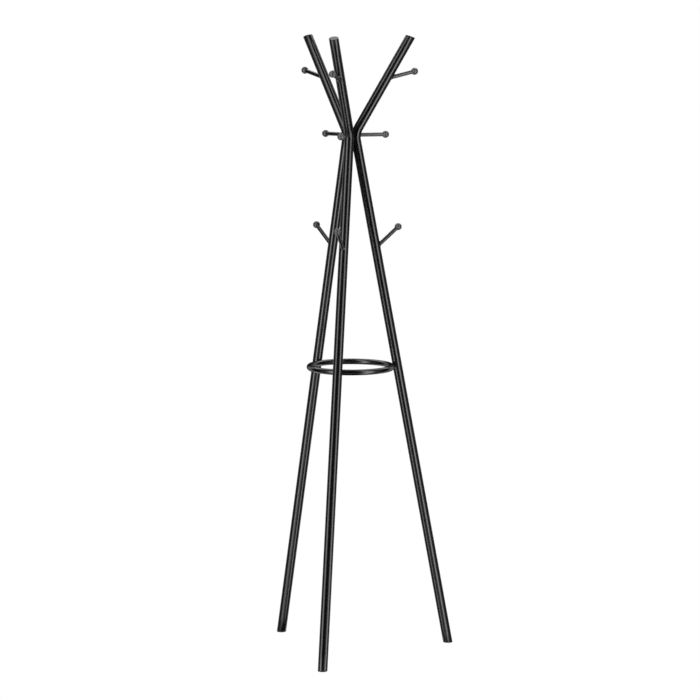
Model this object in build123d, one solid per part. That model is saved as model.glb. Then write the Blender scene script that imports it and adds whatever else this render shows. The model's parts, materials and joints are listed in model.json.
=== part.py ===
from build123d import *

import os
from math import atan2, cos, degrees, radians, sin, sqrt, tan

os.makedirs("parts", exist_ok=True)

# Standing coat rack. Three bent tubes stand on the floor as a tripod, meet at a narrow waist and
# spread again as three arms. Each tube carries three pegs with ball ends. A ring below the waist
# ties the legs together and holds umbrellas upright.
#
# Lengths are in millimetres. +Z is up, the floor is Z = 0 and the Z axis is the rack's centre line.
# Each leg is drawn in the XZ plane, with +X pointing away from the centre line, and then turned
# about Z to its own place.

LEG_ANGLES = {"front": -90, "right": 30, "left": 150}

# Leg tube. The straight stretches of its centre line would cross at the waist corner.
TUBE_RADIUS = 13.0
TUBE_WALL = 1.2
FOOT_SPREAD = 280.8
WAIST_SPREAD = 12.4
WAIST_HEIGHT = 1423.8
TOP_SPREAD = 167.8
TOP_HEIGHT = 1685.4
BEND_RADIUS = 50.0
TOP_CUT_TILT = 20.0

# End caps of the tube
FOOT_PAD_THICKNESS = 4.0
TOP_PLATE_THICKNESS = 2.5
CAP_SLEEVE_LENGTH = 30.0
CAP_SLEEVE_WALL = 1.8
CAP_SLEEVE_CLEARANCE = 0.1
CAP_EDGE_ROUND = 1.2

# Pegs: where the ball's centre is, and how far the rod slopes up from the horizontal
PEGS = {
    "upper": {"spread": 179.4, "height": 1591.0, "slope": 13.6},
    "waist": {"spread": 97.9, "height": 1421.0, "slope": 0.0},
    "lower": {"spread": 134.2, "height": 1168.6, "slope": 41.6},
}
ROD_RADIUS = 5.35
BALL_RADIUS = 9.75
BALL_SPIGOT_RADIUS = 3.0
BALL_SPIGOT_LENGTH = 8.0
WELD_SIZE = 2.0

# Waist hub, and the stud of each waist peg that screws into it
HUB_ARM_RADIUS = 5.0
HUB_ARM_LENGTH = 13.0
HUB_HOLE_DEPTH = 9.0
STUD_RADIUS = 3.0
STUD_HOLE_RADIUS = 3.3
STUD_END_GAP = 1.0

# Umbrella ring, how deep its tube is let in where it seats on a leg, and the pins that hold it
RING_HEIGHT = 786.4
RING_TUBE_RADIUS = 8.0
RING_TUBE_WALL = 1.5
RING_SEAT_DEPTH = 1.5
PIN_RADIUS = 4.0

# Radial clearance of a rod, pin or stud in its hole, and of a part that passes through a wall
FIT = 0.05
LOOSE = 0.2

# Anything longer or wider than the stretch it has to cover
AMPLE = 200.0


def lean_of(low, high):
    """Angle from the vertical, outwards, of the line from low to high."""
    return degrees(atan2(high.X - low.X, high.Z - low.Z))


def slanted(slope):
    """Unit vector that points outwards and slopes up from the horizontal by this angle."""
    return Vector(cos(radians(slope)), 0, sin(radians(slope)))


# The leg's centre line
foot_point = Vector(FOOT_SPREAD, 0, 0)
waist_corner = Vector(WAIST_SPREAD, 0, WAIST_HEIGHT)
top_point = Vector(TOP_SPREAD, 0, TOP_HEIGHT)
leg_lean = -lean_of(foot_point, waist_corner)
arm_lean = lean_of(waist_corner, top_point)
bend_angle = leg_lean + arm_lean
leg_direction = (waist_corner - foot_point).normalized()
arm_direction = (top_point - waist_corner).normalized()
corner_to_arc = BEND_RADIUS * tan(radians(bend_angle / 2))
bend_start = waist_corner - leg_direction * corner_to_arc
bend_end = waist_corner + arm_direction * corner_to_arc
bend_centre = bend_start + slanted(leg_lean) * BEND_RADIUS

# The leg's axis stands this far out at the ring, and the ring's tube seats on the leg's inner side
leg_spread_at_ring = FOOT_SPREAD - RING_HEIGHT * tan(radians(leg_lean))
tube_to_ring = (TUBE_RADIUS + RING_TUBE_RADIUS) / cos(radians(leg_lean))
RING_RADIUS = leg_spread_at_ring - tube_to_ring + RING_SEAT_DEPTH

# The ball has a flat as wide as the rod, which sits this far from the ball's centre
ball_flat = sqrt(BALL_RADIUS**2 - ROD_RADIUS**2)

# Planes across the leg: the floor, the tube's level foot cut, the plug's face and the tube's top cut
floor_plane = Plane(origin=foot_point)
foot_cut_plane = floor_plane.offset(FOOT_PAD_THICKNESS)
top_normal = slanted(90 - TOP_CUT_TILT)
top_plane = Plane(origin=top_point, z_dir=top_normal)
top_cut_plane = top_plane.offset(-TOP_PLATE_THICKNESS)


def rod(start, direction, length, radius):
    """Round bar that starts at a point."""
    return extrude(Plane(origin=start, z_dir=direction) * Circle(radius), amount=length)


def above(plane):
    """Block that stands on a plane, around the plane's origin."""
    return plane * Box(AMPLE, AMPLE, AMPLE, align=(Align.CENTER, Align.CENTER, Align.MIN))


def below(plane):
    """Block that hangs under a plane, around the plane's origin."""
    return plane * Box(AMPLE, AMPLE, AMPLE, align=(Align.CENTER, Align.CENTER, Align.MAX))


def bent_bar(radius):
    """Solid round bar along the leg's centre line, longer than the leg at both ends."""
    low_end = foot_point - leg_direction * AMPLE / 2
    lower = rod(low_end, leg_direction, (bend_start - low_end).length, radius)
    section = Plane(origin=bend_start, z_dir=leg_direction) * Circle(radius)
    bend = revolve(section, Axis(bend_centre, (0, 1, 0)), bend_angle)
    straight = (top_point - bend_end).length
    upper = rod(bend_end, arm_direction, straight + AMPLE / 2, radius)
    return lower + bend + upper


def peg_line(kind):
    """Ball centre, direction of the rod and the length from the tube's axis to the ball's centre."""
    peg = PEGS[kind]
    centre = Vector(peg["spread"], 0, peg["height"])
    direction = slanted(peg["slope"])
    if kind == "waist":
        rise = peg["height"] - bend_centre.Z
        axis_spread = bend_centre.X - sqrt(BEND_RADIUS**2 - rise**2)
        return centre, direction, centre.X - axis_spread
    along = arm_direction if kind == "upper" else leg_direction
    to_ball = centre - waist_corner
    crossed = along.X * direction.Z - along.Z * direction.X
    length = (along.X * to_ball.Z - along.Z * to_ball.X) / crossed
    return centre, direction, length


def make_leg_tube():
    """Bent tube, cut level at the foot and on a slant at the top, with its fixing holes."""
    tube = outer_bar - bent_bar(TUBE_RADIUS - TUBE_WALL)
    tube -= below(foot_cut_plane)
    tube -= above(top_cut_plane)
    centre, _, length = peg_line("waist")
    inside = Vector(centre.X - length, 0, centre.Z)
    outwards = Vector(1, 0, 0)
    tube -= rod(inside, outwards, AMPLE, STUD_HOLE_RADIUS)
    tube -= rod(inside, -outwards, AMPLE, HUB_ARM_RADIUS + LOOSE)
    pin_end = Vector(leg_spread_at_ring, 0, RING_HEIGHT)
    return tube - rod(pin_end, -outwards, AMPLE, PIN_RADIUS + LOOSE)


def cap_sleeve(start, direction):
    """Open-ended sleeve that pushes into the end of the tube."""
    radius = TUBE_RADIUS - TUBE_WALL - CAP_SLEEVE_CLEARANCE
    sleeve = rod(start, direction, CAP_SLEEVE_LENGTH, radius)
    return sleeve - rod(start, direction, CAP_SLEEVE_LENGTH, radius - CAP_SLEEVE_WALL)


def make_foot_cap():
    """Plastic foot: a pad as wide as the tube, with a rounded edge on the floor, and a sleeve."""
    pad = rod(foot_point - leg_direction * AMPLE / 2, leg_direction, AMPLE, TUBE_RADIUS)
    pad -= below(floor_plane)
    pad -= above(foot_cut_plane)
    pad = fillet(pad.edges().group_by(Axis.Z)[0], CAP_EDGE_ROUND)
    return pad + (cap_sleeve(foot_point, leg_direction) - below(foot_cut_plane))


def make_top_plug():
    """Plastic plug: a plate that closes the slanted end of the tube, and a sleeve below it."""
    plate = rod(top_point - arm_direction * AMPLE / 2, arm_direction, AMPLE, TUBE_RADIUS)
    plate -= above(top_plane)
    plate -= below(top_cut_plane)
    plate = fillet(plate.edges().group_by(Axis(top_point, top_normal))[-1], CAP_EDGE_ROUND)
    return plate + (cap_sleeve(top_point, -arm_direction) - above(top_cut_plane))


def make_peg_rod(kind):
    """Rod with a saddle root that fits the tube and a spigot for the ball."""
    centre, direction, length = peg_line(kind)
    root = centre - direction * length
    shoulder = length - ball_flat
    bar = rod(root, direction, shoulder, ROD_RADIUS)
    bar += rod(root + direction * shoulder, direction, BALL_SPIGOT_LENGTH, BALL_SPIGOT_RADIUS)
    bar -= outer_bar
    if kind == "waist":
        stud_end = Vector(HUB_ARM_LENGTH - HUB_HOLE_DEPTH + STUD_END_GAP, 0, centre.Z)
        middle_of_rod = root.X + length / 2
        bar += rod(stud_end, direction, middle_of_rod - stud_end.X, STUD_RADIUS)
    return bar


def make_peg_ball(kind):
    """Ball with a flat that rests on the rod's shoulder and a blind hole for its spigot."""
    centre, direction, _ = peg_line(kind)
    flat_point = centre - direction * ball_flat
    ball = Pos(*centre) * Sphere(BALL_RADIUS)
    ball -= above(Plane(origin=flat_point, z_dir=-direction))
    return ball - rod(flat_point, direction, BALL_SPIGOT_LENGTH + FIT, BALL_SPIGOT_RADIUS + FIT)


def make_peg_weld(kind):
    """Bead of weld that fills the corner between the rod's root and the tube."""
    centre, direction, length = peg_line(kind)
    root = centre - direction * length
    along = arm_direction if kind == "upper" else leg_direction
    reach = TUBE_RADIUS * 3
    wall = rod(root - along * reach, along, 2 * reach, TUBE_RADIUS)
    bar = rod(root, direction, length - 2 * BALL_RADIUS, ROD_RADIUS)
    joined = wall + bar
    seam = joined.edges().filter_by(lambda e: e.geom_type not in (GeomType.CIRCLE, GeomType.LINE))
    return chamfer(seam, WELD_SIZE) - wall - bar


def make_ring():
    """Closed ring of tube with a hollow seat for each leg and a pin hole in each seat."""
    ring = Torus(RING_RADIUS, RING_TUBE_RADIUS)
    ring -= Torus(RING_RADIUS, RING_TUBE_RADIUS - RING_TUBE_WALL)
    ring = Pos(0, 0, RING_HEIGHT) * ring
    seat = rod(foot_point, leg_direction, WAIST_HEIGHT, TUBE_RADIUS + FIT)
    outwards = Vector(1, 0, 0)
    hole = rod(Vector(RING_RADIUS, 0, RING_HEIGHT), outwards, AMPLE / 4, PIN_RADIUS + FIT)
    for angle in LEG_ANGLES.values():
        ring -= Rot(0, 0, angle) * seat
        ring -= Rot(0, 0, angle) * hole
    return ring


def make_ring_pin():
    """Pin that is fixed in the ring's tube and reaches into the leg."""
    half_cavity = RING_TUBE_RADIUS - RING_TUBE_WALL
    inner_end = RING_RADIUS - sqrt(half_cavity**2 - PIN_RADIUS**2)
    length = leg_spread_at_ring - inner_end
    return rod(Vector(inner_end, 0, RING_HEIGHT), Vector(1, 0, 0), length, PIN_RADIUS)


def make_hub():
    """Three short arms that reach into the tubes, each with a hole for a waist peg's stud."""
    height = PEGS["waist"]["height"]
    centre = Vector(0, 0, height)
    outwards = Vector(1, 0, 0)
    arm = rod(centre, outwards, HUB_ARM_LENGTH, HUB_ARM_RADIUS)
    hole_start = centre + outwards * (HUB_ARM_LENGTH - HUB_HOLE_DEPTH)
    hole = rod(hole_start, outwards, AMPLE / 4, STUD_RADIUS + FIT)
    hub = Part()
    for angle in LEG_ANGLES.values():
        hub += Rot(0, 0, angle) * arm
    for angle in LEG_ANGLES.values():
        hub -= Rot(0, 0, angle) * hole
    return hub


def save(name, shape):
    """Write one node."""
    shape.label = name
    export_step(shape, f"parts/{name}.step")


outer_bar = bent_bar(TUBE_RADIUS)

# One of each piece that every leg has
leg_pieces = {
    "leg_tube": make_leg_tube(),
    "foot_cap": make_foot_cap(),
    "top_plug": make_top_plug(),
}
for kind in PEGS:
    leg_pieces[f"{kind}_peg_rod"] = make_peg_rod(kind)
    leg_pieces[f"{kind}_peg_ball"] = make_peg_ball(kind)

for side, angle in LEG_ANGLES.items():
    for name, piece in leg_pieces.items():
        save(f"{name}_{side}", Rot(0, 0, angle) * piece)

# Like pieces that share a node
shared = {
    "upper_peg_welds": make_peg_weld("upper"),
    "lower_peg_welds": make_peg_weld("lower"),
    "ring_pins": make_ring_pin(),
}
for name, piece in shared.items():
    save(name, Compound(children=[Rot(0, 0, angle) * piece for angle in LEG_ANGLES.values()]))

save("umbrella_ring", make_ring())
save("waist_hub", make_hub())
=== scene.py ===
import json
from math import acos, atan, atan2, cos, degrees, pi, radians, sin, sqrt, tan

import bmesh
import bpy
from mathutils import Matrix, Vector


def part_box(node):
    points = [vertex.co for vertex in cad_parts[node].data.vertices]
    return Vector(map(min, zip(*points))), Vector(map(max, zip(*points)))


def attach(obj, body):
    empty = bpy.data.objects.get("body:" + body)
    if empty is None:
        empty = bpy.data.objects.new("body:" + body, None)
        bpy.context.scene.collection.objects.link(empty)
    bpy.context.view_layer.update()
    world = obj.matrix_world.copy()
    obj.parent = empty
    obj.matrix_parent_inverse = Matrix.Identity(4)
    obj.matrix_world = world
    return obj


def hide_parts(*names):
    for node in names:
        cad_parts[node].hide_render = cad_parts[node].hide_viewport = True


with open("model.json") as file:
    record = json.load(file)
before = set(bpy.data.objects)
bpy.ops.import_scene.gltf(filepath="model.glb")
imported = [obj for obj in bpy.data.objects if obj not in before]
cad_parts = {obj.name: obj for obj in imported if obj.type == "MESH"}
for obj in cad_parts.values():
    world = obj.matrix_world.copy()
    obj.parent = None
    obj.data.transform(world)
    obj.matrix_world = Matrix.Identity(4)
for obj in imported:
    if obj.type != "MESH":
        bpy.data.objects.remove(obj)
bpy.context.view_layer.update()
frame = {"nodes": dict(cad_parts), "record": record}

# Standing coat rack: the looks of a three-legged rack of bent black tube.
# Everything is in metres, +Z up, with the floor at Z = 0 and the rack's centre line on the Z axis.
# A leg's pieces are made in its own upright plane, with +X pointing away from the centre line,
# and are then turned about Z to the leg's own angle.

SIDES = ("front", "right", "left")
KINDS = ("upper", "waist", "lower")

# ---------------------------------------------------------------------------------------------
# Sizes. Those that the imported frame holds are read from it.
# ---------------------------------------------------------------------------------------------

mounts = {m["name"]: m for m in frame["record"]["mounts"]}


def half_width(node):
    """Half of a front-leg node's width across its own plane: the radius of what it is made of."""
    low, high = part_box(node)
    return (high.x - low.x) / 2


TUBE_RADIUS = half_width("leg_tube_front")
TUBE_WALL = 0.0012
ROD_RADIUS = half_width("upper_peg_rod_front")
BALL_RADIUS = half_width("upper_peg_ball_front")

# The leg's centre line, as (outwards, across, up)
FOOT_POINT = Vector((-mounts["foot_front"]["pos_m"][1], 0, 0))
WAIST_CORNER = Vector((0.0124, 0, 1.4238))
TOP_POINT = Vector((0.1678, 0, 1.6854))
BEND_RADIUS = 0.05
TOP_CUT_TILT = radians(20)

# End caps, and how far the edges at the tube's cuts are rounded or chamfered
FOOT_PAD_THICKNESS = 0.004
TOP_PLATE_THICKNESS = 0.0025
CAP_SLEEVE_LENGTH = 0.03
CAP_SLEEVE_WALL = 0.0018
CAP_SLEEVE_CLEARANCE = 0.0001
CAP_EDGE_ROUND = 0.0012
CUT_EDGE_SIZE = 0.0003

# Pegs
ROD_EDGE_CHAMFER = 0.0002
BALL_SPIGOT_RADIUS = 0.003
BALL_SPIGOT_LENGTH = 0.008
BALL_SPIGOT_CLEARANCE = 0.00005
WELD_SIZE = 0.002
WELD_HOLLOWNESS = 1.25
WELD_RIPPLES = 15
WELD_RIPPLE_DEPTH = 0.06

# Studs of the waist pegs, and how far from the rack's centre line they end
STUD_RADIUS = 0.003
STUD_END = 0.005

# Gap between a leg and the ring's seat on it
RING_SEAT_GAP = 0.00005

# Smoothness of the round pieces
TUBE_SIDES = 72
TUBE_STEP = 0.04
BEND_STEPS = 24
CAP_FACE_SHARES = (0.25, 0.5, 0.75, 0.86)
CAP_ROUND_STEPS = 6
ROD_SIDES = 48
ROD_STEPS = 8
BALL_SIDES = 64
BALL_STEPS = 40
WELD_STEPS = 6
RING_SIDES = 48
RING_STEPS = 360
SMOOTH_BELOW = radians(32)
SAME_POINT_WITHIN = 1e-7

# The middle of a lightly rounded edge lies this share of its radius in from both faces
EDGE_MIDDLE = 0.3

# A search for a point on the tube's surface: how far it looks, and how often it halves that
SURFACE_SEARCH_REACH = 3 * TUBE_RADIUS
SURFACE_SEARCH_STEPS = 40


def slanted(slope):
    """Unit vector that points outwards and slopes up from the horizontal by this angle."""
    return Vector((cos(slope), 0, sin(slope)))


up = Vector((0, 0, 1))
sideways = Vector((0, 1, 0))

leg_direction = (WAIST_CORNER - FOOT_POINT).normalized()
arm_direction = (TOP_POINT - WAIST_CORNER).normalized()
bend_angle = leg_direction.angle(arm_direction)
bend_start = WAIST_CORNER - leg_direction * BEND_RADIUS * tan(bend_angle / 2)
bend_end = WAIST_CORNER + arm_direction * BEND_RADIUS * tan(bend_angle / 2)
leg_outwards = Vector((leg_direction.z, 0, -leg_direction.x))
bend_centre = bend_start + leg_outwards * BEND_RADIUS

# Where the tube is cut, and its end caps' plates rest on it
top_normal = slanted(pi / 2 - TOP_CUT_TILT)
foot_cut = FOOT_POINT + leg_direction * (FOOT_PAD_THICKNESS / leg_direction.z)
top_cut = TOP_POINT - arm_direction * (TOP_PLATE_THICKNESS / arm_direction.dot(top_normal))

# Distance from a ball's centre to the flat that sits on the rod
ball_flat = sqrt(BALL_RADIUS**2 - ROD_RADIUS**2)


# ---------------------------------------------------------------------------------------------
# Mesh tools
# ---------------------------------------------------------------------------------------------

def circle_ring(centre, direction, radius, sides):
    """Points of a circle about a direction that lies in the leg's plane. The first is in that plane."""
    across = direction.cross(sideways).normalized()
    ring = []
    for i in range(sides):
        turn = 2 * pi * i / sides
        ring.append(centre + (across * cos(turn) + sideways * sin(turn)) * radius)
    return ring


def slid_to_plane(ring, direction, point, normal):
    """The ring's points, each slid along the direction until it lies in the plane."""
    return [p + direction * ((point - p).dot(normal) / direction.dot(normal)) for p in ring]


def loft(rings, closed=False):
    """Vertices and faces of a skin over rings with the same number of points each. A closed one
    also joins the last ring to the first."""
    count = len(rings[0])
    vertices = [p for ring in rings for p in ring]
    faces = []
    bands = len(rings) if closed else len(rings) - 1
    for i in range(bands):
        a, b = i * count, (i + 1) % len(rings) * count
        for j in range(count):
            k = (j + 1) % count
            faces.append((a + j, a + k, b + k, b + j))
    return vertices, faces


def close_end(vertices, faces, ring_number, count, centre, first):
    """Closes the first or the last ring with a fan about its centre."""
    start = ring_number * count
    vertices.append(centre)
    middle = len(vertices) - 1
    for j in range(count):
        k = (j + 1) % count
        if first:
            faces.append((middle, start + k, start + j))
        else:
            faces.append((middle, start + j, start + k))


def capped_loft(rings, first_centre, last_centre):
    """Skin over rings whose first and last are closed with a fan."""
    vertices, faces = loft(rings)
    count = len(rings[0])
    close_end(vertices, faces, 0, count, first_centre, True)
    close_end(vertices, faces, len(rings) - 1, count, last_centre, False)
    return vertices, faces


def revolved(origin, direction, outline, sides):
    """Closed skin turned about an axis. The outline's points are (distance along, radius), and its
    first and last points are on the axis."""
    rings = [circle_ring(origin + direction * s, direction, r, sides) for s, r in outline[1:-1]]
    first_centre = origin + direction * outline[0][0]
    last_centre = origin + direction * outline[-1][0]
    return capped_loft(rings, first_centre, last_centre)


def merged(skins):
    """Several skins as one."""
    vertices, faces = [], []
    for more_vertices, more_faces in skins:
        shift = len(vertices)
        vertices += more_vertices
        faces += [tuple(i + shift for i in face) for face in more_faces]
    return vertices, faces


def outward_and_smooth(mesh):
    """Turns every face outwards, and shades smooth across edges that turn by a small angle."""
    work = bmesh.new()
    work.from_mesh(mesh)
    bmesh.ops.remove_doubles(work, verts=work.verts, dist=SAME_POINT_WITHIN)
    bmesh.ops.recalc_face_normals(work, faces=work.faces)
    for face in work.faces:
        face.smooth = True
    for edge in work.edges:
        edge.smooth = len(edge.link_faces) == 2 and edge.calc_face_angle() < SMOOTH_BELOW
    work.to_mesh(mesh)
    work.free()


def leg_turn(side):
    """Rotation about Z that brings a leg's plane to its place."""
    x, y, _ = mounts[f"foot_{side}"]["pos_m"]
    return Matrix.Rotation(atan2(y, x), 4, "Z")


def add_piece(name, skin, node, material, turn=None):
    """Object made from a skin that stands for a CAD node and takes its finish from a slot."""
    vertices, faces = skin
    mesh = bpy.data.meshes.new(name)
    mesh.from_pydata(vertices, [], faces)
    mesh.validate()
    outward_and_smooth(mesh)
    if turn is not None:
        mesh.transform(turn)
    mesh.materials.append(material)
    piece = bpy.data.objects.new(name, mesh)
    bpy.context.scene.collection.objects.link(piece)
    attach(piece, "root")
    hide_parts(node)


# ---------------------------------------------------------------------------------------------
# Leg tube and its end caps
# ---------------------------------------------------------------------------------------------

def straight_run(start, end, direction):
    """Evenly spaced stations from start to end, as (point, direction)."""
    length = (end - start).length
    steps = round(length / TUBE_STEP)
    return [(start + direction * length * i / steps, direction) for i in range(steps + 1)]


def centre_line():
    """Stations along the leg's centre line between its cuts, as (point, direction)."""
    bend = []
    for i in range(1, BEND_STEPS):
        turn = Matrix.Rotation(bend_angle * i / BEND_STEPS, 4, "Y")
        bend.append((bend_centre + turn @ (bend_start - bend_centre), turn @ leg_direction))
    leg = straight_run(foot_cut, bend_start, leg_direction)
    arm = straight_run(bend_end, top_cut, arm_direction)
    return leg + bend + arm


def tube_rings(radius, end_gap):
    """Rings of the tube's wall. The end rings lie in the cut planes, set back by the gap."""
    rings = [circle_ring(p, d, radius, TUBE_SIDES) for p, d in centre_line()]
    rings[0] = slid_to_plane(rings[0], leg_direction, foot_cut + up * end_gap, up)
    rings[-1] = slid_to_plane(rings[-1], arm_direction, top_cut - top_normal * end_gap, top_normal)
    return rings


def leg_tube_skin():
    """Open-ended bent tube with lightly rounded edges at both cuts."""
    edge = CUT_EDGE_SIZE
    outer = tube_rings(TUBE_RADIUS, edge)
    middle = tube_rings(TUBE_RADIUS - edge * EDGE_MIDDLE, edge * EDGE_MIDDLE)
    lip = tube_rings(TUBE_RADIUS - edge, 0)
    inner = tube_rings(TUBE_RADIUS - TUBE_WALL, 0)
    rings = [lip[0], middle[0]] + outer + [middle[-1], lip[-1]] + inner[::-1]
    return loft(rings, closed=True)


def cap_skin(face_point, face_normal, cut_point, into_tube):
    """End cap: a plate between the cap's face and the tube's cut, and an open sleeve in the tube.
    The plate's rim is rounded at the face and lightly chamfered at the cut."""
    sleeve_outer = TUBE_RADIUS - TUBE_WALL - CAP_SLEEVE_CLEARANCE
    sleeve_inner = sleeve_outer - CAP_SLEEVE_WALL

    def ring(radius, plane_point):
        flat = circle_ring(face_point, into_tube, radius, TUBE_SIDES)
        return slid_to_plane(flat, into_tube, plane_point, face_normal)

    rings = [ring(TUBE_RADIUS * share, face_point) for share in CAP_FACE_SHARES]
    for i in range(CAP_ROUND_STEPS + 1):
        turn = pi / 2 * i / CAP_ROUND_STEPS
        depth = CAP_EDGE_ROUND * (1 - cos(turn))
        inset = CAP_EDGE_ROUND * (1 - sin(turn))
        rings.append(ring(TUBE_RADIUS - inset, face_point - face_normal * depth))
    rings.append(ring(TUBE_RADIUS, cut_point + face_normal * CUT_EDGE_SIZE))
    rings.append(ring(TUBE_RADIUS - CUT_EDGE_SIZE, cut_point))
    rings.append(ring(sleeve_outer, cut_point))
    sleeve_end = face_point + into_tube * CAP_SLEEVE_LENGTH
    rings.append(circle_ring(sleeve_end, into_tube, sleeve_outer, TUBE_SIDES))
    rings.append(circle_ring(sleeve_end, into_tube, sleeve_inner, TUBE_SIDES))
    rings.append(ring(sleeve_inner, cut_point))
    return capped_loft(rings, face_point, cut_point)


# ---------------------------------------------------------------------------------------------
# Pegs
# ---------------------------------------------------------------------------------------------

def distance_to_centre_line(point):
    """Distance from a point near the leg to its centre line."""
    if (point - bend_start).dot(leg_direction) < 0:
        return (point - bend_start).cross(leg_direction).length
    if (point - bend_end).dot(arm_direction) > 0:
        return (point - bend_end).cross(arm_direction).length
    to_point = point - bend_centre
    in_plane = sqrt(to_point.x**2 + to_point.z**2)
    return sqrt((in_plane - BEND_RADIUS)**2 + to_point.y**2)


def tube_surface(start, direction):
    """How far along a line that starts inside the tube it meets the tube's outer surface."""
    near, far = 0, SURFACE_SEARCH_REACH
    for _ in range(SURFACE_SEARCH_STEPS):
        middle = (near + far) / 2
        if distance_to_centre_line(start + direction * middle) < TUBE_RADIUS:
            near = middle
        else:
            far = middle
    return (near + far) / 2


def peg_line(kind):
    """Ball's centre and the rod's direction. The rod's slope is that of the peg's resting place."""
    low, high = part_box(f"{kind}_peg_ball_front")
    centre = Vector((-low.y - BALL_RADIUS, 0, high.z - BALL_RADIUS))
    rest = mounts[f"{kind}_peg_front"]["axis"]
    slope = atan2(rest[1], rest[2])
    return centre, slanted(slope)


def axis_distance(kind):
    """Distance from the ball's centre back to the leg's centre line, along the rod. The waist's rod
    is level and meets the bend, and the others meet a straight stretch."""
    centre, direction = peg_line(kind)
    if kind == "waist":
        return centre.x - (bend_centre.x - sqrt(BEND_RADIUS**2 - (centre.z - bend_centre.z)**2))
    along = arm_direction if kind == "upper" else leg_direction
    to_ball = centre - WAIST_CORNER
    crossed = along.x * direction.z - along.z * direction.x
    return (along.x * to_ball.z - along.z * to_ball.x) / crossed


def saddle_ring(kind, radius, lift=0.0):
    """Ring about the rod's axis that lies on the tube's surface, or lifted off it along the rod."""
    centre, direction = peg_line(kind)
    start = centre - direction * axis_distance(kind)
    points = circle_ring(start, direction, radius, ROD_SIDES)
    return [p + direction * (tube_surface(p, direction) + lift) for p in points]


def peg_rod_skin(kind):
    """Rod from its saddle on the tube to its shoulder, with a spigot that goes into the ball. The
    waist's rod also has a stud that goes in through the tube."""
    centre, direction = peg_line(kind)
    shoulder = centre - direction * ball_flat

    def ring(point, radius):
        return circle_ring(point, direction, radius, ROD_SIDES)

    saddle = saddle_ring(kind, ROD_RADIUS)
    to_saddle = max((p - shoulder).dot(direction) for p in saddle)
    rings = [saddle]
    for i in range(1, ROD_STEPS):
        rings.append(ring(shoulder + direction * to_saddle * (1 - i / ROD_STEPS), ROD_RADIUS))
    rings.append(ring(shoulder - direction * ROD_EDGE_CHAMFER, ROD_RADIUS))
    rings.append(ring(shoulder, ROD_RADIUS - ROD_EDGE_CHAMFER))
    rings.append(ring(shoulder, BALL_SPIGOT_RADIUS))
    spigot_end = shoulder + direction * BALL_SPIGOT_LENGTH
    rings.append(ring(spigot_end, BALL_SPIGOT_RADIUS))
    if kind == "waist":
        root_middle = Vector((STUD_END, 0, centre.z))
        rings = [ring(root_middle, STUD_RADIUS), saddle_ring(kind, STUD_RADIUS)] + rings
    else:
        root_middle = sum(saddle, Vector()) / len(saddle)
        rings = [saddle_ring(kind, ROD_RADIUS / 2)] + rings
    return capped_loft(rings, root_middle, spigot_end)


def peg_ball_skin(kind):
    """Ball with a flat where it meets the rod and a blind hole for the spigot."""
    centre, direction = peg_line(kind)
    hole_radius = BALL_SPIGOT_RADIUS + BALL_SPIGOT_CLEARANCE
    hole_end = -ball_flat + BALL_SPIGOT_LENGTH
    outline = [(hole_end, 0), (hole_end, hole_radius), (-ball_flat, hole_radius)]
    first_turn = acos(-ball_flat / BALL_RADIUS)
    for i in range(BALL_STEPS):
        turn = first_turn * (1 - i / BALL_STEPS)
        outline.append((BALL_RADIUS * cos(turn), BALL_RADIUS * sin(turn)))
    outline.append((BALL_RADIUS, 0))
    return revolved(centre, direction, outline, BALL_SIDES)


def peg_weld_skin(kind):
    """Bead of weld round the rod's root: a slightly hollow fillet with fine ripples along it."""
    bead = []
    for i in range(WELD_STEPS + 1):
        share = i / WELD_STEPS
        lift = WELD_SIZE * (1 - share)**WELD_HOLLOWNESS
        bead.append(saddle_ring(kind, ROD_RADIUS + WELD_SIZE * share, lift))
    root = saddle_ring(kind, ROD_RADIUS)
    for ring in bead[1:-1]:
        for j in range(ROD_SIDES):
            ripple = 1 + WELD_RIPPLE_DEPTH * sin(2 * pi * WELD_RIPPLES * j / ROD_SIDES)
            ring[j] = root[j] + (ring[j] - root[j]) * ripple
    under = [saddle_ring(kind, ROD_RADIUS + WELD_SIZE / 2), root]
    return loft(bead + under, closed=True)


# ---------------------------------------------------------------------------------------------
# Ring
# ---------------------------------------------------------------------------------------------

def seated_on_leg(point, side):
    """The point, pushed out of the leg's tube to just off its surface if it is inside."""
    turn = leg_turn(side)
    own = turn.inverted() @ point
    on_axis = bend_start + leg_direction * (own - bend_start).dot(leg_direction)
    away = own - on_axis
    clear = TUBE_RADIUS + RING_SEAT_GAP
    if away.length >= clear:
        return point
    return turn @ (on_axis + away.normalized() * clear)


def umbrella_ring_skin():
    """Round ring of tube, level between the legs, with a hollow seat where it rests on each leg."""
    low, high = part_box("umbrella_ring")
    tube = (high.z - low.z) / 2
    height = (high.z + low.z) / 2
    spread = (high.x - low.x) / 2 - tube
    rings = []
    for i in range(RING_STEPS):
        turn = 2 * pi * i / RING_STEPS
        outwards = Vector((cos(turn), sin(turn), 0))
        ring = []
        for j in range(RING_SIDES):
            roll = 2 * pi * j / RING_SIDES
            point = outwards * (spread + tube * cos(roll)) + up * (height + tube * sin(roll))
            for side in SIDES:
                point = seated_on_leg(point, side)
            ring.append(point)
        rings.append(ring)
    return loft(rings, closed=True)


# ---------------------------------------------------------------------------------------------
# Materials
# ---------------------------------------------------------------------------------------------

# The part of the noise's range that is stretched to the wanted values
NOISE_FROM = 0.3
NOISE_TO = 0.7


def new_material(name):
    """A new material, its node tree, its shader and the object's own coordinates for its noise."""
    material = bpy.data.materials.new(name)
    material.use_nodes = True
    tree = material.node_tree
    shader = tree.nodes["Principled BSDF"]
    place = tree.nodes.new("ShaderNodeTexCoord").outputs["Object"]
    return material, tree, shader, place


def add_noise(tree, place, scale, detail):
    """Noise over the object's own coordinates."""
    noise = tree.nodes.new("ShaderNodeTexNoise")
    noise.inputs["Scale"].default_value = scale
    noise.inputs["Detail"].default_value = detail
    tree.links.new(place, noise.inputs["Vector"])
    return noise.outputs["Fac"]


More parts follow.
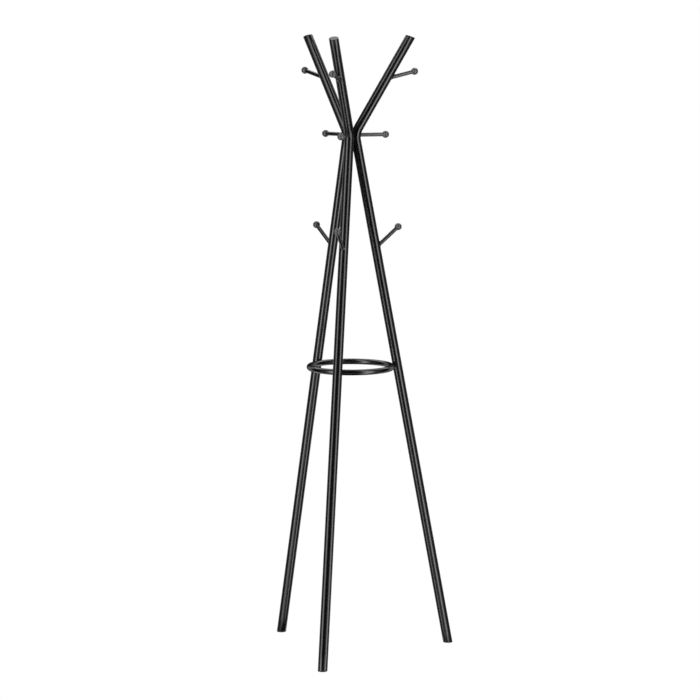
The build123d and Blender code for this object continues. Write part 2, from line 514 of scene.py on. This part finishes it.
def add_noise_between(tree, place, scale, detail, low, high):
    """Noise that runs between two values."""
    spread = tree.nodes.new("ShaderNodeMapRange")
    spread.inputs["From Min"].default_value = NOISE_FROM
    spread.inputs["From Max"].default_value = NOISE_TO
    spread.inputs["To Min"].default_value = low
    spread.inputs["To Max"].default_value = high
    tree.links.new(add_noise(tree, place, scale, detail), spread.inputs["Value"])
    return spread.outputs["Result"]


def black_finish(name, dark, light, rough_low, rough_high, grain_scale, grain_depth):
    """Black finish: faint mottling in its colour and gloss, and a fine grain in its surface."""
    material, tree, shader, place = new_material(name)
    mottle = add_noise_between(tree, place, scale=35.0, detail=4.0, low=0.0, high=1.0)
    colours = tree.nodes.new("ShaderNodeMix")
    colours.data_type = "RGBA"
    colours.inputs["A"].default_value = (dark, dark, dark, 1)
    colours.inputs["B"].default_value = (light, light, light, 1)
    tree.links.new(mottle, colours.inputs["Factor"])
    tree.links.new(colours.outputs["Result"], shader.inputs["Base Color"])
    roughness = add_noise_between(tree, place, scale=90.0, detail=3.0,
                                  low=rough_low, high=rough_high)
    tree.links.new(roughness, shader.inputs["Roughness"])
    bump = tree.nodes.new("ShaderNodeBump")
    bump.inputs["Strength"].default_value = 1.0
    bump.inputs["Distance"].default_value = grain_depth
    grain = add_noise(tree, place, scale=grain_scale, detail=2.0)
    tree.links.new(grain, bump.inputs["Height"])
    tree.links.new(bump.outputs["Normal"], shader.inputs["Normal"])
    return material


def plated_steel_finish(name):
    """Plated steel with a fine grain in its gloss."""
    material, tree, shader, place = new_material(name)
    roughness = add_noise_between(tree, place, scale=400.0, detail=2.0, low=0.25, high=0.4)
    tree.links.new(roughness, shader.inputs["Roughness"])
    shader.inputs["Metallic"].default_value = 1.0
    shader.inputs["Base Color"].default_value = (0.12, 0.12, 0.125, 1)
    return material


black_paint = black_finish("black_powder_coat", dark=0.0015, light=0.0025,
                           rough_low=0.20, rough_high=0.24,
                           grain_scale=700.0, grain_depth=0.000005)
black_ball = black_finish("black_ball_plastic", dark=0.040, light=0.048,
                          rough_low=0.27, rough_high=0.32,
                          grain_scale=900.0, grain_depth=0.000005)
black_plastic = black_finish("black_moulded_plastic", dark=0.006, light=0.010,
                             rough_low=0.42, rough_high=0.52,
                             grain_scale=1500.0, grain_depth=0.00002)
plated_steel = plated_steel_finish("plated_steel")


# ---------------------------------------------------------------------------------------------
# Pieces
# ---------------------------------------------------------------------------------------------

def build_legs():
    """Every visible piece of each leg: its tube, its end caps, and its pegs' rods and balls."""
    tube = leg_tube_skin()
    top_plug = cap_skin(TOP_POINT, top_normal, top_cut, -arm_direction)
    foot_cap = cap_skin(FOOT_POINT, -up, foot_cut, leg_direction)
    rods = {kind: peg_rod_skin(kind) for kind in KINDS}
    balls = {kind: peg_ball_skin(kind) for kind in KINDS}
    for side in SIDES:
        turn = leg_turn(side)
        add_piece(f"{side}_leg_tube", tube, f"leg_tube_{side}", black_paint, turn)
        add_piece(f"{side}_top_plug", top_plug, f"top_plug_{side}",
                  black_plastic, turn)
        add_piece(f"{side}_foot_cap", foot_cap, f"foot_cap_{side}",
                  black_plastic, turn)
        for kind in KINDS:
            add_piece(f"{side}_{kind}_peg_rod", rods[kind], f"{kind}_peg_rod_{side}",
                      black_paint, turn)
            add_piece(f"{side}_{kind}_peg_ball", balls[kind], f"{kind}_peg_ball_{side}",
                      black_ball, turn)


def build_shared_pieces():
    """The weld beads and the ring, whose CAD nodes belong to all three legs."""
    for kind in ("upper", "lower"):
        vertices, faces = peg_weld_skin(kind)
        beads = [([leg_turn(side) @ p for p in vertices], faces) for side in SIDES]
        add_piece(f"{kind}_peg_weld_beads", merged(beads), f"{kind}_peg_welds",
                  black_paint)
    add_piece("ring_for_umbrellas", umbrella_ring_skin(), "umbrella_ring",
              black_paint)


def finish_hidden_pieces():
    """The hub and the pins are out of sight, so their CAD nodes stay and only get a material."""
    for node, material in (("waist_hub", plated_steel), ("ring_pins", black_paint)):
        materials = frame["nodes"][node].data.materials
        materials.clear()
        materials.append(material)


build_legs()
build_shared_pieces()
finish_hidden_pieces()

# ---------------------------------------------------------------------------------------------
# Floor, light and camera
# ---------------------------------------------------------------------------------------------

WHITE = (1, 1, 1, 1)
FLOOR_HALF_WIDTH = 30.0

# The camera's angle is how far round from the front leg it stands, on the right leg's side. Its yaw
# turns it to face the rack.
CAMERA_DISTANCE = 7.843
CAMERA_HEIGHT = 1.8592
CAMERA_ANGLE = radians(15.534)
CAMERA_YAW = radians(15.547)
CAMERA_PITCH = radians(7.455)
CAMERA_LENS = 148.66
SENSOR_WIDTH = 36.0

# How far off the soft boxes stand, and the height on the rack's centre line that they face
STUDIO_RADIUS = 12.0
LOOK_HEIGHT = 0.85

# How far off the tall strips stand, and the heights of their ends
STRIP_DISTANCE = 0.7
STRIP_BOTTOM = -0.5
STRIP_TOP = 3.2


def glowing_white(name):
    """Plain white material that gives off an even light."""
    material = bpy.data.materials.new(name)
    material.use_nodes = True
    nodes = material.node_tree.nodes
    nodes.clear()
    light = nodes.new("ShaderNodeEmission")
    light.inputs["Color"].default_value = WHITE
    light.inputs["Strength"].default_value = 1.0
    output = nodes.new("ShaderNodeOutputMaterial")
    material.node_tree.links.new(light.outputs["Emission"], output.inputs["Surface"])
    return material


def add_floor():
    """Plain white floor that reaches far past the view. It is there for the camera alone."""
    half = FLOOR_HALF_WIDTH
    corners = [(-half, -half, 0), (half, -half, 0), (half, half, 0), (-half, half, 0)]
    mesh = bpy.data.meshes.new("floor")
    mesh.from_pydata(corners, [], [(0, 1, 2, 3)])
    mesh.materials.append(glowing_white("floor_white"))
    floor = bpy.data.objects.new("floor", mesh)
    bpy.context.scene.collection.objects.link(floor)
    floor.visible_glossy = False
    floor.visible_diffuse = False
    floor.visible_shadow = False


def add_world():
    """Plain white all round, for the camera alone. The lights do all the lighting."""
    world = bpy.data.worlds.new("studio")
    bpy.context.scene.world = world
    world.use_nodes = True
    background = world.node_tree.nodes["Background"]
    background.inputs["Color"].default_value = WHITE
    background.inputs["Strength"].default_value = 1.0
    world.cycles_visibility.diffuse = False
    world.cycles_visibility.glossy = False
    world.cycles_visibility.transmission = False


def add_softbox(name, bearing, rise, width, height, brightness,
                distance=STUDIO_RADIUS, aim_height=LOOK_HEIGHT):
    """Soft light that faces a point on the rack's centre line. Its place and its width and height are
    given as angles in degrees, as seen from that point. The bearing is counted from the camera's, so
    that a positive one is on the right in the picture. A brightness of 1 looks white."""
    data = bpy.data.lights.new(name, "AREA")
    data.shape = "RECTANGLE"
    data.size = 2 * distance * tan(radians(width / 2)) * cos(radians(rise))
    data.size_y = 2 * distance * tan(radians(height / 2))
    data.energy = brightness * pi * data.size * data.size_y
    box = bpy.data.objects.new(name, data)
    angle = CAMERA_ANGLE + radians(bearing)
    level = distance * cos(radians(rise))
    lift = distance * sin(radians(rise))
    box.location = (level * sin(angle), -level * cos(angle), aim_height + lift)
    box.rotation_euler = (pi / 2 - radians(rise), 0, angle)
    box.visible_camera = False
    bpy.context.scene.collection.objects.link(box)


def add_strip(name, bearing, width, brightness, bottom=STRIP_BOTTOM):
    """Tall soft light that stands close to the rack, upright, and faces its centre line. Its bearing
    and its width are angles in degrees, as in a soft box."""
    half = (STRIP_TOP - bottom) / 2
    height = 2 * degrees(atan(half / STRIP_DISTANCE))
    add_softbox(name, bearing, 0, width, height, brightness,
                distance=STRIP_DISTANCE, aim_height=bottom + half)


def add_strips():
    """Strips close to the rack on each side of the camera. The gap between them leaves a dark stripe
    down the middle of every tube. Each line has a name, a bearing, a width and a brightness."""
    add_strip("left_strip", -46, 24, 1.8)
    add_strip("left_strip_middle", -44, 8, 1.5)
    add_strip("left_strip_high", -34, 16, 1.9, bottom=1.2)
    add_strip("right_strip", 46, 24, 4.1)
    add_strip("right_strip_side", 66, 16, 0.2)


def add_softboxes():
    """Soft boxes far off on every side. Each line has a name, a bearing, a rise above the level of
    the rack's middle, a width, a height and a brightness."""
    add_softbox("left_low", -46, -14, 18, 18, 5.4)
    add_softbox("left_main", -50, 17, 22, 44, 1.6)
    add_softbox("left_top", -42, 52, 44, 22, 1.0)
    add_softbox("left_under", -50, -52, 50, 36, 0.6)
    add_softbox("left_wide", -58, 0, 56, 80, 0.3)
    add_softbox("right_low", 40, -14, 27, 22, 1.6)
    add_softbox("right_wide", 58, 0, 56, 80, 0.3)
    add_softbox("front_low", -5, -32, 40, 20, 0.85)
    for name, side in (("left", -1), ("right", 1)):
        add_softbox(f"{name}_back", side * 135, 0, 30, 60, 0.7)
        add_softbox(f"{name}_back_high", side * 140, 47, 54, 30, 2.5)
        add_softbox(f"{name}_back_under", side * 140, -47, 54, 30, 1.6)
    add_softbox("back_high", 180, 46, 26, 26, 2.4)
    add_softbox("overhead", 180, 68, 90, 24, 1.6)


def add_camera():
    """Camera a little above the rack's top, looking slightly down at its middle."""
    data = bpy.data.cameras.new("camera")
    data.lens = CAMERA_LENS
    data.sensor_width = SENSOR_WIDTH
    camera = bpy.data.objects.new("camera", data)
    camera.location = (
        CAMERA_DISTANCE * sin(CAMERA_ANGLE), -CAMERA_DISTANCE * cos(CAMERA_ANGLE), CAMERA_HEIGHT
    )
    camera.rotation_euler = (pi / 2 - CAMERA_PITCH, 0, CAMERA_YAW)
    bpy.context.scene.collection.objects.link(camera)
    bpy.context.scene.camera = camera


add_floor()
add_world()
add_strips()
add_softboxes()
add_camera()
bpy.context.scene.view_settings.view_transform = "Standard"
